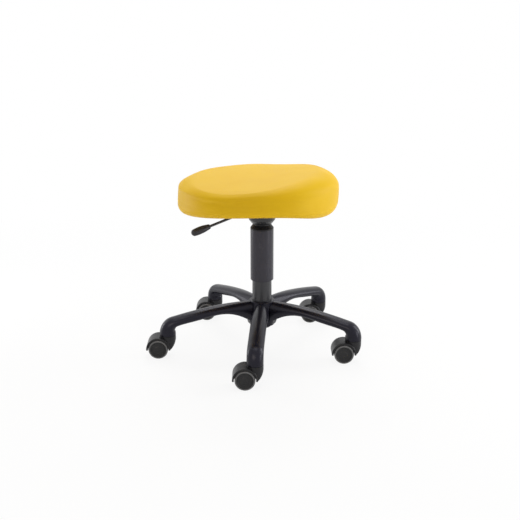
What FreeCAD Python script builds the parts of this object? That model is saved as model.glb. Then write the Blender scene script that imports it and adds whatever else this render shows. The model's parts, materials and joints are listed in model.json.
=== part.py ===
"""Saddle stool: an upholstered seat on a gas-spring column, with a five-legged base on casters.

Frame: the floor is z = 0, the column's axis is the Z axis and the seat's front is -Y.
Lengths are in millimetres and angles in degrees.
"""
import FreeCAD
import Part
import math
import os

# Fits between pieces, as radial or face-to-face gaps
RUNNING_GAP = 0.05            # pieces that turn or slide in each other
PRESSED_GAP = 0.02            # pieces pressed or screwed into each other
SIDE_GAP = 0.5                # beside a piece that turns
SOFT_GAP = 0.3                # between foam and what wraps it

# Casters
WHEEL_DIAMETER = 50.0
WHEEL_WIDTH = 18.0
WHEEL_FACE_DISH = 2.0         # hollow in the wheel's outer face
TREAD_THICKNESS = 4.0
TREAD_ROUNDING = 3.0
CASTER_TRAIL = 24.0           # stem axis to axle
CASTER_WEB = 11.0             # plate between the two wheels
WHEEL_SIDE_GAP = 0.7          # web to wheel
HOOD_GAP = 1.6                # tread to hood
HOOD_WALL = 4.4
HOOD_ROUNDING = 2.0
HOOD_SKIRT = 2.0              # hood's tips below the axle
NECK_RISE = 2.0               # top of the hood to top of the neck
NECK_SEAM = 1.0               # neck to leg end
NECK_BULGE = 4.0              # rounding of the neck's front
AXLE_DIAMETER = 6.0
AXLE_BOSS_WALL = 6.0
STEM_DIAMETER = 11.0
STEM_COLLAR_DIAMETER = 18.0
STEM_INSERT = 22.0            # stem's length in the leg
STEM_FLOOR = 1.5              # caster material left under the stem
STEM_CHAMFER = 1.0
CASTER_HEADING = -68.0        # direction in which the wheels trail

# Base
LEG_COUNT = 5
LEG_END_RADIUS = 250.0        # column axis to stem axis
LEG_WIDTH = 41.0
LEG_WALL = 4.0
LEG_RISE = 72.5               # underside of the leg end to the leg's top at the hub
LEG_DROP = 30.5               # fall of the leg's top from the hub to the stem
LEG_ROOT_DEPTH = 64.0
LEG_WAIST_DEPTH = 25.0
LEG_END_DEPTH = 28.0
LEG_WAIST_RADIUS = 111.0      # where the leg is thinnest
LEG_CURVE = 1.7               # exponent of the leg's sweep
ELBOW_INNER_RADIUS = 4.5
RIB_COUNT = 4
RIB_WALL = 3.0
RIB_RECESS = 2.5              # ribs above the lower edges of the leg's walls
STEM_BOSS_WALL = 5.0
STEM_BOSS_POCKET = 17.0       # depth of the ring-shaped pocket round the stem's boss
HUB_WALL = 8.0
HUB_RISE = 1.5                # hub's top above the legs
HUB_HEIGHT = 66.0
HUB_CHAMFER = 1.2

# Gas spring
COLUMN_DIAMETER = 50.0
COLUMN_WALL = 2.0
COLUMN_TAPER = 0.025          # loss of radius per length, as on standard chair columns
COLUMN_FOOT = 7.0             # column's length below the hub
COLUMN_FLOOR = 3.0
BUSH_LENGTH = 80.0
BUSH_FLANGE = 2.0
TUBE_DIAMETER = 28.0
TUBE_WALL = 1.8
ROD_DIAMETER = 10.0
ROD_SPIGOT_DIAMETER = 8.0
ROD_TAIL = 5.0                # rod's length below the column
PISTON_LENGTH = 14.0
PISTON_CLEARANCE = 5.0        # piston to rod guide with the seat right up
PISTON_GAP = 0.1
ROD_GUIDE_LENGTH = 22.0
VALVE_LENGTH = 26.0
RACE_THICKNESS = 1.5
RACE_DIAMETER = 22.0
BALL_DIAMETER = 3.0
BALL_CIRCLE_DIAMETER = 15.0
BALL_COUNT = 12
BUMP_STOP_HEIGHT = 10.0
BUMP_STOP_DIAMETER = 24.0
CLIP_DIAMETER = 16.0
CLIP_THICKNESS = 1.2
CLIP_GROOVE = 0.8
LIFT_UP = 75.0                # seat's travel up from this height
LIFT_DOWN = 50.0              # seat's travel down
SLEEVE_GAP = 2.8              # column to sleeve
SLEEVE_WALL = 2.0
SLEEVE_LENGTH = 135.5
SLEEVE_HUB_GAP = 6.0          # sleeve to hub with the seat right down
CAP_RIM = 3.5
CAP_CHAMFER = 9.0
CAP_NECK = 3.0
CAP_NECK_DIAMETER = 46.0
CAP_SPIGOT = 11.0
CAP_SPIGOT_WALL = 1.3
CAP_COLUMN_GAP = 3.0          # cap to bush with the seat right down

# Seat carrier and release lever
SOCKET_HEIGHT = 65.0
SOCKET_WALL = 3.0
SOCKET_FOOT_DIAMETER = 52.0
SOCKET_SHOULDER_DIAMETER = 67.5
SOCKET_SHOULDER_RISE = 10.0
SOCKET_TOP_DIAMETER = 92.0
SOCKET_FLANGE_DIAMETER = 124.0
SOCKET_BOSS_WALL = 6.0
TAPER_DEPTH = 36.0            # tube's length in the socket
PIN_DIAMETER = 6.0
PIN_PROUD = 4.2               # release pin above the tube
PIN_TRAVEL = 3.4
PIN_LENGTH = 24.0
PIN_CHAMFER = 0.6
LEVER_GAP = 0.3               # lever to release pin
LEVER_HEADING = -38.0
LEVER_ROD_DIAMETER = 6.5
LEVER_REACH = 200.0           # column axis to the grip's end
LEVER_TAIL = 7.0              # rod's length past the column axis
LEVER_CRANK_START = 20.0      # radius where the rod bends down
LEVER_CRANK_END = 52.0        # radius where it straightens
LEVER_CRANK_DROP = 10.0
LEVER_SLOPE = 13.2
LEVER_BEND = 14.0
LEVER_PIVOT_RADIUS = 28.0
LEVER_HUB_DIAMETER = 11.0
LEVER_HUB_LENGTH = 14.0
LEVER_PIVOT_DIAMETER = 5.0
LEVER_SLOT_WIDTH = 15.0
BRACKET_WALL = 2.5
BRACKET_LENGTH = 9.0
BRACKET_EDGE = 4.5            # ear's material round the pivot
GRIP_LENGTH = 51.0
GRIP_NECK_DIAMETER = 11.5
GRIP_DIAMETER = 18.5
GRIP_END_ROUNDING = 5.0
GRIP_SWELL = 0.8              # bulge of the grip's taper
GRIP_SHOULDER = 1.2           # loss of radius before the rounded end
PLATE_LENGTH = 216.0
PLATE_WIDTH = 176.0
PLATE_THICKNESS = 3.0
PLATE_CORNER = 22.0
PLATE_LIP = 7.0               # turned-down edge
SCREW_SPACING_X = 120.0
SCREW_SPACING_Y = 160.0
SCREW_DIAMETER = 8.0
SCREW_HEAD_DIAMETER = 14.0
SCREW_HEAD_HEIGHT = 5.0
WASHER_DIAMETER = 20.0
WASHER_THICKNESS = 1.6
TEE_NUT_WALL = 1.2
TEE_NUT_DIAMETER = 20.0
TEE_NUT_FLANGE = 1.5

# Upholstered seat
SEAT_WIDTH = 412.0
SEAT_LENGTH = 410.0
SEAT_SHIFT = -10.5            # middle of the seat from the column axis
SEAT_RISE = 54.5              # board's underside to the middle of the top
SEAT_TILT = 3.0               # rear up
SEAT_CROWN = 5.2              # fall of the top to each side
SEAT_DISH = 1.0               # rise of the top to the front and the rear
SEAT_DRAFT = 1.5              # rear wall's lean, drawn in towards the bottom
SKIRT_FALL = (39.0, 31.5, 20.5, 9.5, 7.0, 17.0, 48.0)    # lower edge below the board, front to rear
SKIRT_PLACE = (-1.1, -0.8, -0.4, 0.1, 0.5, 0.8, 1.1)     # where, as shares of the seat's half length
TOP_ROUNDING = 32.0
BOTTOM_ROUNDING = 20.0
COVER_THICKNESS = 1.2
COVER_HEM = 22.0              # cover's width under the board
BOARD_THICKNESS = 12.0
BOARD_INSET = 28.0            # lower edge of the seat to the board's edge
STAPLE_COUNT = 24
STAPLE_CROWN = 10.0
STAPLE_WIRE = 1.0
STAPLE_LEG = 8.0

# Heights and radii that follow from the driving dimensions
WHEEL_RADIUS = WHEEL_DIAMETER / 2
HOOD_BORE = WHEEL_RADIUS + HOOD_GAP
HOOD_RADIUS = HOOD_BORE + HOOD_WALL
WHEEL_INNER_FACE = CASTER_WEB / 2 + WHEEL_SIDE_GAP
WHEEL_OUTER_FACE = WHEEL_INNER_FACE + WHEEL_WIDTH
NECK_Z = WHEEL_RADIUS + HOOD_RADIUS + NECK_RISE
LEG_END_Z = NECK_Z + NECK_SEAM
HUB_RADIUS = COLUMN_DIAMETER / 2 + HUB_WALL
HUB_TOP_Z = LEG_END_Z + LEG_RISE + HUB_RISE
HUB_BOTTOM_Z = HUB_TOP_Z - HUB_HEIGHT
COLUMN_BOTTOM_Z = HUB_BOTTOM_Z - COLUMN_FOOT
SLEEVE_DIAMETER = COLUMN_DIAMETER + 2 * (SLEEVE_GAP + SLEEVE_WALL)
SLEEVE_BOTTOM_Z = HUB_TOP_Z + LIFT_DOWN + SLEEVE_HUB_GAP
SLEEVE_TOP_Z = SLEEVE_BOTTOM_Z + SLEEVE_LENGTH
COLUMN_TOP_Z = SLEEVE_TOP_Z - LIFT_DOWN - CAP_COLUMN_GAP - BUSH_FLANGE
LOWER_RACE_Z = COLUMN_BOTTOM_Z + COLUMN_FLOOR
BALL_Z = LOWER_RACE_Z + RACE_THICKNESS + BALL_DIAMETER / 2 + PRESSED_GAP
UPPER_RACE_Z = BALL_Z + BALL_DIAMETER / 2 + RUNNING_GAP
ROD_SHOULDER_Z = UPPER_RACE_Z + RACE_THICKNESS
BUMP_STOP_TOP_Z = ROD_SHOULDER_Z + BUMP_STOP_HEIGHT
TUBE_BOTTOM_Z = BUMP_STOP_TOP_Z + LIFT_DOWN + SIDE_GAP
PISTON_Z = TUBE_BOTTOM_Z + LIFT_UP + ROD_GUIDE_LENGTH + PISTON_CLEARANCE
SOCKET_Z = SLEEVE_TOP_Z + CAP_RIM + CAP_CHAMFER + CAP_NECK
TUBE_TOP_Z = SOCKET_Z + TAPER_DEPTH
PIN_TOP_Z = TUBE_TOP_Z + PIN_PROUD
LEVER_Z = PIN_TOP_Z + LEVER_GAP + LEVER_ROD_DIAMETER / 2
PLATE_Z = SOCKET_Z + SOCKET_HEIGHT
BOARD_Z = PLATE_Z + PLATE_THICKNESS
SEAT_TOP_Z = BOARD_Z + SEAT_RISE
TUBE_RADIUS = TUBE_DIAMETER / 2
TUBE_BORE = TUBE_RADIUS - TUBE_WALL
TUBE_TOP_RADIUS = TUBE_RADIUS - TAPER_DEPTH * COLUMN_TAPER
STEM_RADIUS = STEM_DIAMETER / 2
LEVER_CRANK = LEVER_CRANK_DROP / (LEVER_CRANK_END - LEVER_CRANK_START)
LEVER_PIVOT_Z = LEVER_Z - (LEVER_PIVOT_RADIUS - LEVER_CRANK_START) * LEVER_CRANK

Vec = FreeCAD.Vector
ORIGIN = Vec(0, 0, 0)
X_AXIS = Vec(1, 0, 0)
Y_AXIS = Vec(0, 1, 0)
Z_AXIS = Vec(0, 0, 1)


def turned(outline):
    """Solid turned about the Z axis from a closed outline of (radius, z) corners."""
    corners = [Vec(radius, 0, z) for radius, z in outline]
    face = Part.Face(Part.makePolygon(corners + corners[:1]))
    return face.revolve(ORIGIN, Z_AXIS, 360)


def ring(inner_radius, outer_radius, bottom, top):
    """Plain ring about the Z axis."""
    return turned([(inner_radius, bottom), (outer_radius, bottom), (outer_radius, top), (inner_radius, top)])


def rod(radius, bottom, top, x=0.0, y=0.0):
    """Upright cylinder."""
    return Part.makeCylinder(radius, top - bottom, Vec(x, y, bottom), Z_AXIS)


def cross_rod(radius, half_length, x, z):
    """Cylinder along Y, centred on the XZ plane."""
    return Part.makeCylinder(radius, 2 * half_length, Vec(x, -half_length, z), Y_AXIS)


def block(low, high):
    """Box between two corners."""
    size = Vec(*high) - Vec(*low)
    return Part.makeBox(size.x, size.y, size.z, Vec(*low))


def turned_to(shape, heading):
    """Copy of a shape, turned about the Z axis."""
    copy = shape.copy()
    copy.rotate(ORIGIN, Z_AXIS, heading)
    return copy


def around(shape, count):
    """Copies of a shape, spaced evenly about the Z axis, with the first on +Y."""
    return [turned_to(shape, 90 + 360.0 * index / count) for index in range(count)]


def sagitta_radius(half_chord, sagitta):
    """Radius of an arc from half its chord and its height."""
    return (half_chord ** 2 + sagitta ** 2) / (2 * sagitta)


# Base


def leg_top(radius):
    """Height of the leg's top line at a distance from the column axis."""
    reach = max(radius - HUB_RADIUS, 0.0) / (LEG_END_RADIUS - HUB_RADIUS)
    return LEG_END_Z + LEG_RISE - LEG_DROP * reach ** LEG_CURVE


def leg_depth(radius):
    """Height of the leg's section: deep at the hub, thin at the waist, a little deeper at the end."""
    if radius < LEG_WAIST_RADIUS:
        share = (LEG_WAIST_RADIUS - max(radius, HUB_RADIUS)) / (LEG_WAIST_RADIUS - HUB_RADIUS)
        return LEG_WAIST_DEPTH + (LEG_ROOT_DEPTH - LEG_WAIST_DEPTH) * share ** LEG_CURVE
    share = (radius - LEG_WAIST_RADIUS) / (LEG_END_RADIUS - LEG_WAIST_RADIUS)
    return LEG_WAIST_DEPTH + (LEG_END_DEPTH - LEG_WAIST_DEPTH) * share


def leg_middle(radius):
    """Height of the middle of the leg's section."""
    return leg_top(radius) - leg_depth(radius) / 2


def placed_section(unit_wire, x, z, heading, half_width, half_height):
    """A unit outline scaled to a section and stood across the leg, which heads down at an angle."""
    sine = math.sin(math.radians(heading))
    cosine = math.cos(math.radians(heading))
    matrix = FreeCAD.Matrix(
        0, half_height * sine, cosine, x,
        half_width, 0, 0, 0,
        0, half_height * cosine, -sine, z,
        0, 0, 0, 1)
    return Part.Wire(unit_wire.transformGeometry(matrix).Edges)


def leg_stations(start, elbow):
    """Distances along the leg, closest where its depth changes fastest."""
    root_run = LEG_WAIST_RADIUS - start
    outer_run = elbow - LEG_WAIST_RADIUS
    inner = [start + root_run * share for share in (0, 0.15, 0.35, 0.6)]
    return inner + [LEG_WAIST_RADIUS + outer_run * share for share in (0, 0.35, 0.7, 1)]


def elbow_start():
    """Where the leg begins to bend down to the stem, and its slope there."""
    bend = LEG_WIDTH / 2 + ELBOW_INNER_RADIUS
    radius = LEG_END_RADIUS - bend
    slope = math.atan(leg_middle(radius - 0.5) - leg_middle(radius + 0.5))
    return LEG_END_RADIUS - bend * (1 - math.sin(slope)), math.degrees(slope), bend


def leg_body(start):
    """Solid leg along +X: an oval arm that bends down into a round end."""
    unit = Part.Wire(Part.Circle(ORIGIN, Z_AXIS, 1).toShape())
    elbow, slope, bend = elbow_start()
    sections = []
    for radius in leg_stations(start, elbow):
        grown = slope * max(radius - HUB_RADIUS, 0) / (elbow - HUB_RADIUS)
        half_height = leg_depth(radius) / 2
        sections.append(placed_section(unit, radius, leg_middle(radius), grown, LEG_WIDTH / 2, half_height))
    centre_x = elbow - bend * math.sin(math.radians(slope))
    centre_z = leg_middle(elbow) - bend * math.cos(math.radians(slope))
    for share in (0.25, 0.5, 0.75, 1):
        heading = slope + (90 - slope) * share
        x = centre_x + bend * math.sin(math.radians(heading))
        z = centre_z + bend * math.cos(math.radians(heading))
        half_height = leg_depth(elbow) / 2 * (1 - share) + LEG_WIDTH / 2 * share
        sections.append(placed_section(unit, x, z, heading, LEG_WIDTH / 2, half_height))
    sections.append(placed_section(unit, LEG_END_RADIUS, LEG_END_Z, 90, LEG_WIDTH / 2, LEG_WIDTH / 2))
    return Part.makeLoft(sections, True, False)


def leg_pockets():
    """The hollows under a leg, open below, with cross ribs between them."""
    start = HUB_RADIUS + LEG_WALL
    end = elbow_start()[0]
    sections = []
    for radius in leg_stations(start, end):
        half_height = leg_depth(radius) / 2 - LEG_WALL
        floor = -(leg_depth(radius) + LEG_WALL) / half_height
        arch = Part.Arc(Vec(1, 0, 0), Vec(0, 1, 0), Vec(-1, 0, 0)).toShape()
        sides = Part.makePolygon([Vec(-1, 0, 0), Vec(-1, floor, 0), Vec(1, floor, 0), Vec(1, 0, 0)])
        unit = Part.Wire([arch] + sides.Edges)
        sections.append(
            placed_section(unit, radius, leg_middle(radius), 0, LEG_WIDTH / 2 - LEG_WALL, half_height))
    channel = Part.makeLoft(sections, True, False)
    pitch = (end - start) / (RIB_COUNT + 1)
    edge_share = math.sqrt(1 - (1 - 2 * LEG_WALL / LEG_WIDTH) ** 2)
    ribs = []
    for index in range(RIB_COUNT):
        x = start + pitch * (index + 1)
        rib_z = leg_middle(x) - leg_depth(x) / 2 * edge_share + RIB_RECESS
        half_wall = RIB_WALL / 2
        ribs.append(block((x - half_wall, -LEG_WIDTH, rib_z), (x + half_wall, LEG_WIDTH, HUB_TOP_Z)))
    return channel.cut(Part.makeCompound(ribs))


def star_base():
    """Five hollow legs round a hub with a taper bore."""
    boss_radius = STEM_RADIUS + STEM_BOSS_WALL
    end_pocket = ring(boss_radius, LEG_WIDTH / 2 - LEG_WALL, LEG_END_Z - 1, LEG_END_Z + STEM_BOSS_POCKET)
    stem_bore = rod(STEM_RADIUS + PRESSED_GAP, LEG_END_Z - 1, LEG_END_Z + STEM_INSERT + SIDE_GAP)
    for hollow in (end_pocket, stem_bore):
        hollow.translate(Vec(LEG_END_RADIUS, 0, 0))
    leg = leg_body(HUB_RADIUS - HUB_WALL / 2).cut(leg_pockets().Solids + [end_pocket, stem_bore]).Solids[0]
    hub = turned([
        (0, HUB_BOTTOM_Z), (HUB_RADIUS, HUB_BOTTOM_Z), (HUB_RADIUS, HUB_TOP_Z - HUB_CHAMFER),
        (HUB_RADIUS - HUB_CHAMFER, HUB_TOP_Z), (0, HUB_TOP_Z)])
    top_radius = COLUMN_DIAMETER / 2 + PRESSED_GAP
    foot_radius = top_radius - HUB_HEIGHT * COLUMN_TAPER
    bore = turned([(0, HUB_BOTTOM_Z), (foot_radius, HUB_BOTTOM_Z), (top_radius, HUB_TOP_Z), (0, HUB_TOP_Z)])
    return hub.fuse(around(leg, LEG_COUNT)).cut(bore).removeSplitter()


def stem_floor_z():
    """Lowest height of a stem's end that leaves caster material over the wheels."""
    side = max(CASTER_TRAIL - STEM_RADIUS, 0)
    return WHEEL_RADIUS + math.sqrt(max(HOOD_BORE ** 2 - side ** 2, 0)) + STEM_FLOOR


def caster_stems():
    """Five steel stems with a collar under the leg end."""
    top = LEG_END_Z + STEM_INSERT
    stem = rod(STEM_RADIUS, stem_floor_z() + SIDE_GAP, top)
    stem = stem.fuse(rod(STEM_COLLAR_DIAMETER / 2, NECK_Z + RUNNING_GAP, LEG_END_Z)).removeSplitter()
    tip = [edge for edge in stem.Edges if edge.BoundBox.ZMin > top - 1]
    stem = stem.makeChamfer(STEM_CHAMFER, tip)
    stem.translate(Vec(LEG_END_RADIUS, 0, 0))
    return Part.makeCompound(around(stem, LEG_COUNT))


# Casters, made with the stem on the Z axis and the axle towards -X


def caster_body():
    """Hood over two wheels, with a web between them and a neck under the leg."""
    half_width = WHEEL_OUTER_FACE - SIDE_GAP
    hood = cross_rod(HOOD_RADIUS, half_width, -CASTER_TRAIL, WHEEL_RADIUS)
    hood = hood.makeFillet(HOOD_ROUNDING, [edge for edge in hood.Edges if edge.Closed])
    skirt_z = WHEEL_RADIUS - HOOD_SKIRT
    reach = CASTER_TRAIL + 2 * HOOD_RADIUS + LEG_WIDTH
    below = block((-reach, -reach, -reach), (reach, reach, skirt_z))
    neck_radius = LEG_WIDTH / 2
    front_tip = Vec(HOOD_RADIUS - CASTER_TRAIL, 0, skirt_z)
    neck_top = Vec(neck_radius, 0, NECK_Z)
    bulge = Vec(NECK_BULGE, 0, -NECK_BULGE * 3 / 4)
    front_curve = Part.Arc(neck_top, (neck_top + front_tip) / 2 + bulge, front_tip).toShape()
    back = -neck_radius - CASTER_TRAIL
    sides = Part.makePolygon([front_tip, Vec(back, 0, skirt_z), Vec(back, 0, NECK_Z), neck_top])
    profile = Part.Face(Part.Wire([front_curve] + sides.Edges))
    profile.translate(Vec(0, -neck_radius, 0))
    neck = profile.extrude(Vec(0, 2 * neck_radius, 0)).common(rod(neck_radius, skirt_z, NECK_Z))
    body = hood.cut(below).fuse(neck)
    cavity_depth = half_width + HOOD_ROUNDING
    for side in (-1, 1):
        cavity = Part.makeCylinder(
            HOOD_BORE, cavity_depth, Vec(-CASTER_TRAIL, side * CASTER_WEB / 2, WHEEL_RADIUS), Y_AXIS * side)
        body = body.cut(cavity)
    boss_radius = AXLE_DIAMETER / 2 + AXLE_BOSS_WALL
    body = body.fuse(cross_rod(boss_radius, CASTER_WEB / 2, -CASTER_TRAIL, WHEEL_RADIUS))
    axle_bore = cross_rod(AXLE_DIAMETER / 2 + PRESSED_GAP, CASTER_WEB, -CASTER_TRAIL, WHEEL_RADIUS)
    stem_bore = rod(STEM_RADIUS + RUNNING_GAP, stem_floor_z(), NECK_Z + NECK_SEAM)
    return body.cut(axle_bore).cut(stem_bore).removeSplitter()


def axle_half_length():
    """The axle ends inside the wheels, short of their outer walls."""
    return WHEEL_OUTER_FACE - WHEEL_FACE_DISH - TREAD_THICKNESS


def caster_axle():
    """Steel pin through the web."""
    return cross_rod(AXLE_DIAMETER / 2, axle_half_length(), -CASTER_TRAIL, WHEEL_RADIUS)


def on_axle(shape, side):
    """A wheel piece turned about Z at the origin, stood on the axle on one side of the web."""
    shape.rotate(ORIGIN, X_AXIS, -90 * side)
    shape.translate(Vec(-CASTER_TRAIL, 0, WHEEL_RADIUS))
    return shape


def caster_wheel(side):
    """Wheel core with a dished outer face and a blind bore for the axle."""
    rim = WHEEL_RADIUS - TREAD_THICKNESS
    face = WHEEL_OUTER_FACE
    bore = AXLE_DIAMETER / 2 + RUNNING_GAP
    bore_end = axle_half_length() + SIDE_GAP
    hub = AXLE_DIAMETER / 2 + AXLE_BOSS_WALL
    flange = TREAD_THICKNESS
    web = WHEEL_INNER_FACE + WHEEL_WIDTH / 2
    outline = [
        (0, bore_end), (bore, bore_end), (bore, WHEEL_INNER_FACE), (hub, WHEEL_INNER_FACE), (hub, web),
        (rim - flange, web), (rim - flange, WHEEL_INNER_FACE), (rim, WHEEL_INNER_FACE), (rim, face),
        (rim - flange / 2, face), (rim - flange, face - WHEEL_FACE_DISH), (hub, face - WHEEL_FACE_DISH),
        (hub - WHEEL_FACE_DISH, face - WHEEL_FACE_DISH / 2), (0, face - WHEEL_FACE_DISH / 2)]
    return on_axle(turned(outline), side)


def caster_tread(side):
    """Rounded running ring on the wheel core."""
    inner = WHEEL_RADIUS - TREAD_THICKNESS + PRESSED_GAP
    tread = ring(inner, WHEEL_RADIUS, WHEEL_INNER_FACE, WHEEL_OUTER_FACE)
    outer_edges = [edge for edge in tread.Edges if edge.Closed and edge.Length > 2 * math.pi * (inner + 1)]
    return on_axle(tread.makeFillet(TREAD_ROUNDING, outer_edges), side)


def caster_pieces():
    """Every caster's nodes, under the five leg ends."""
    local = {
        "body": caster_body(), "axle": caster_axle(),
        "wheel_a": caster_wheel(1), "tread_a": caster_tread(1),
        "wheel_b": caster_wheel(-1), "tread_b": caster_tread(-1)}
    nodes = {}
    for index in range(LEG_COUNT):
        angle = math.radians(90 + 360.0 * index / LEG_COUNT)
        stem = Vec(LEG_END_RADIUS * math.cos(angle), LEG_END_RADIUS * math.sin(angle), 0)
        for name, shape in local.items():
            placed = turned_to(shape, CASTER_HEADING - 180)
            placed.translate(stem)
            nodes["caster_%d_%s" % (index + 1, name)] = placed
    return nodes


# Gas spring


def column_tube():
    """Outer tube with a tapered foot and a holed floor."""
    radius = COLUMN_DIAMETER / 2
    bore = radius - COLUMN_WALL
    foot = radius - (HUB_TOP_Z - COLUMN_BOTTOM_Z) * COLUMN_TAPER
    hole = ROD_SPIGOT_DIAMETER / 2 + SIDE_GAP
    floor_bore = foot - COLUMN_WALL
    return turned([
        (hole, COLUMN_BOTTOM_Z), (foot, COLUMN_BOTTOM_Z), (radius, HUB_TOP_Z), (radius, COLUMN_TOP_Z),
        (bore, COLUMN_TOP_Z), (bore, HUB_TOP_Z), (floor_bore, LOWER_RACE_Z), (hole, LOWER_RACE_Z)])


def guide_bush():
    """Flanged plastic bush that guides the pressure tube."""
    bore = TUBE_RADIUS + RUNNING_GAP
    outer = COLUMN_DIAMETER / 2 - COLUMN_WALL - PRESSED_GAP
    flange = COLUMN_DIAMETER / 2
    bottom = COLUMN_TOP_Z - BUSH_LENGTH
    top = COLUMN_TOP_Z + BUSH_FLANGE
    return turned([
        (bore, bottom), (outer, bottom), (outer, COLUMN_TOP_Z), (flange, COLUMN_TOP_Z),
        (flange - BUSH_FLANGE / 2, top), (bore, top)])


def race(bottom):
    """One washer of the thrust bearing."""
    return ring(ROD_SPIGOT_DIAMETER / 2 + PRESSED_GAP, RACE_DIAMETER / 2, bottom, bottom + RACE_THICKNESS)


def bearing_balls():
    """Ring of steel balls."""
    ball = Part.makeSphere(BALL_DIAMETER / 2, Vec(BALL_CIRCLE_DIAMETER / 2, 0, BALL_Z))
    return Part.makeCompound(around(ball, BALL_COUNT))


def piston_rod():
    """Rod with a spigot through the bearing and a groove for the clip."""
    radius = ROD_DIAMETER / 2
    spigot = ROD_SPIGOT_DIAMETER / 2
    groove = spigot - CLIP_GROOVE
    groove_top = COLUMN_BOTTOM_Z - SIDE_GAP
    groove_bottom = groove_top - CLIP_THICKNESS
    top = PISTON_Z + PISTON_LENGTH
    return turned([
        (0, COLUMN_BOTTOM_Z - ROD_TAIL), (spigot, COLUMN_BOTTOM_Z - ROD_TAIL), (spigot, groove_bottom),
        (groove, groove_bottom), (groove, groove_top), (spigot, groove_top), (spigot, ROD_SHOULDER_Z),
        (radius, ROD_SHOULDER_Z), (radius, PISTON_Z), (spigot, PISTON_Z), (spigot, top), (0, top)])


def piston_head():
    """Piston with a seal groove, on the rod's upper spigot."""
    bore = ROD_SPIGOT_DIAMETER / 2 + PRESSED_GAP
    radius = TUBE_BORE - PISTON_GAP
    third = PISTON_LENGTH / 3
    top = PISTON_Z + PISTON_LENGTH
    groove = radius - PISTON_LENGTH / 8
    return turned([
        (bore, PISTON_Z), (radius, PISTON_Z), (radius, PISTON_Z + third), (groove, PISTON_Z + third),
        (groove, top - third), (radius, top - third), (radius, top), (bore, top)])


def bump_stop():
    """Rubber ring that the pressure tube lands on."""
    bore = ROD_DIAMETER / 2 + PRESSED_GAP
    radius = BUMP_STOP_DIAMETER / 2
    waist = (BUMP_STOP_TOP_Z + ROD_SHOULDER_Z) / 2
    return turned([
        (bore, ROD_SHOULDER_Z), (radius, ROD_SHOULDER_Z), (radius - BUMP_STOP_HEIGHT / 8, waist),
        (radius, BUMP_STOP_TOP_Z), (bore, BUMP_STOP_TOP_Z)])


def rod_clip():
    """Split spring clip in the rod's groove, under the column."""
    groove_top = COLUMN_BOTTOM_Z - SIDE_GAP
    bore = ROD_SPIGOT_DIAMETER / 2 - CLIP_GROOVE + PRESSED_GAP
    disc = ring(bore, CLIP_DIAMETER / 2, groove_top - CLIP_THICKNESS + PRESSED_GAP, groove_top - PRESSED_GAP)
    mouth = block((0, -bore, COLUMN_BOTTOM_Z - ROD_TAIL), (CLIP_DIAMETER, bore, COLUMN_BOTTOM_Z))
    return disc.cut(mouth)


def pressure_tube():
    """Inner tube with a tapered top."""
    return turned([
        (TUBE_BORE, TUBE_BOTTOM_Z), (TUBE_RADIUS, TUBE_BOTTOM_Z), (TUBE_RADIUS, SOCKET_Z),
        (TUBE_TOP_RADIUS, TUBE_TOP_Z), (TUBE_BORE - TUBE_WALL / 2, TUBE_TOP_Z),
        (TUBE_BORE - TUBE_WALL / 2, TUBE_TOP_Z - TUBE_WALL), (TUBE_BORE, TUBE_TOP_Z - TUBE_WALL)])


def rod_guide():
    """Plug in the tube's lower end, with the rod's bore."""
    top = TUBE_BOTTOM_Z + ROD_GUIDE_LENGTH
    return ring(ROD_DIAMETER / 2 + RUNNING_GAP, TUBE_BORE - PRESSED_GAP, TUBE_BOTTOM_Z, top)


def valve_body():
    """Plug in the tube's upper end, with the release pin's bore."""
    bore = PIN_DIAMETER / 2 + RUNNING_GAP
    top = TUBE_TOP_Z - TUBE_WALL
    bore_end = PIN_TOP_Z - PIN_LENGTH - PIN_TRAVEL - SIDE_GAP
    bottom = min(TUBE_TOP_Z - VALVE_LENGTH, bore_end - TUBE_WALL)
    outer = TUBE_BORE - PRESSED_GAP
    return turned([(0, bottom), (outer, bottom), (outer, top), (bore, top), (bore, bore_end), (0, bore_end)])


def release_pin():
    """Pin that opens the gas valve when it is pressed."""
    pin = rod(PIN_DIAMETER / 2, PIN_TOP_Z - PIN_LENGTH, PIN_TOP_Z)
    return pin.makeChamfer(PIN_CHAMFER, [edge for edge in pin.Edges if edge.BoundBox.ZMin > PIN_TOP_Z - 1])


def upper_sleeve():
    """Dust sleeve over the column, with a turned-in lower edge."""
    radius = SLEEVE_DIAMETER / 2
    lip = SLEEVE_WALL / 2
    return turned([
        (radius - SLEEVE_WALL, SLEEVE_BOTTOM_Z), (radius - lip, SLEEVE_BOTTOM_Z),
        (radius, SLEEVE_BOTTOM_Z + lip), (radius, SLEEVE_TOP_Z), (radius - SLEEVE_WALL, SLEEVE_TOP_Z)])


def sleeve_cap():
    """Sloped plastic cap that holds the sleeve on the pressure tube."""
    bore = TUBE_RADIUS + PRESSED_GAP
    radius = SLEEVE_DIAMETER / 2
    spigot = radius - SLEEVE_WALL - PRESSED_GAP
    neck = CAP_NECK_DIAMETER / 2
    rim_z = SLEEVE_TOP_Z + CAP_RIM
    return turned([
        (bore, SLEEVE_TOP_Z), (spigot - CAP_SPIGOT_WALL, SLEEVE_TOP_Z),
        (spigot - CAP_SPIGOT_WALL, SLEEVE_TOP_Z - CAP_SPIGOT), (spigot, SLEEVE_TOP_Z - CAP_SPIGOT),
        (spigot, SLEEVE_TOP_Z), (radius, SLEEVE_TOP_Z), (radius, rim_z), (neck, rim_z + CAP_CHAMFER),
        (neck, SOCKET_Z), (bore, SOCKET_Z)])


# Seat carrier and release lever, with the lever made along +X


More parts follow.
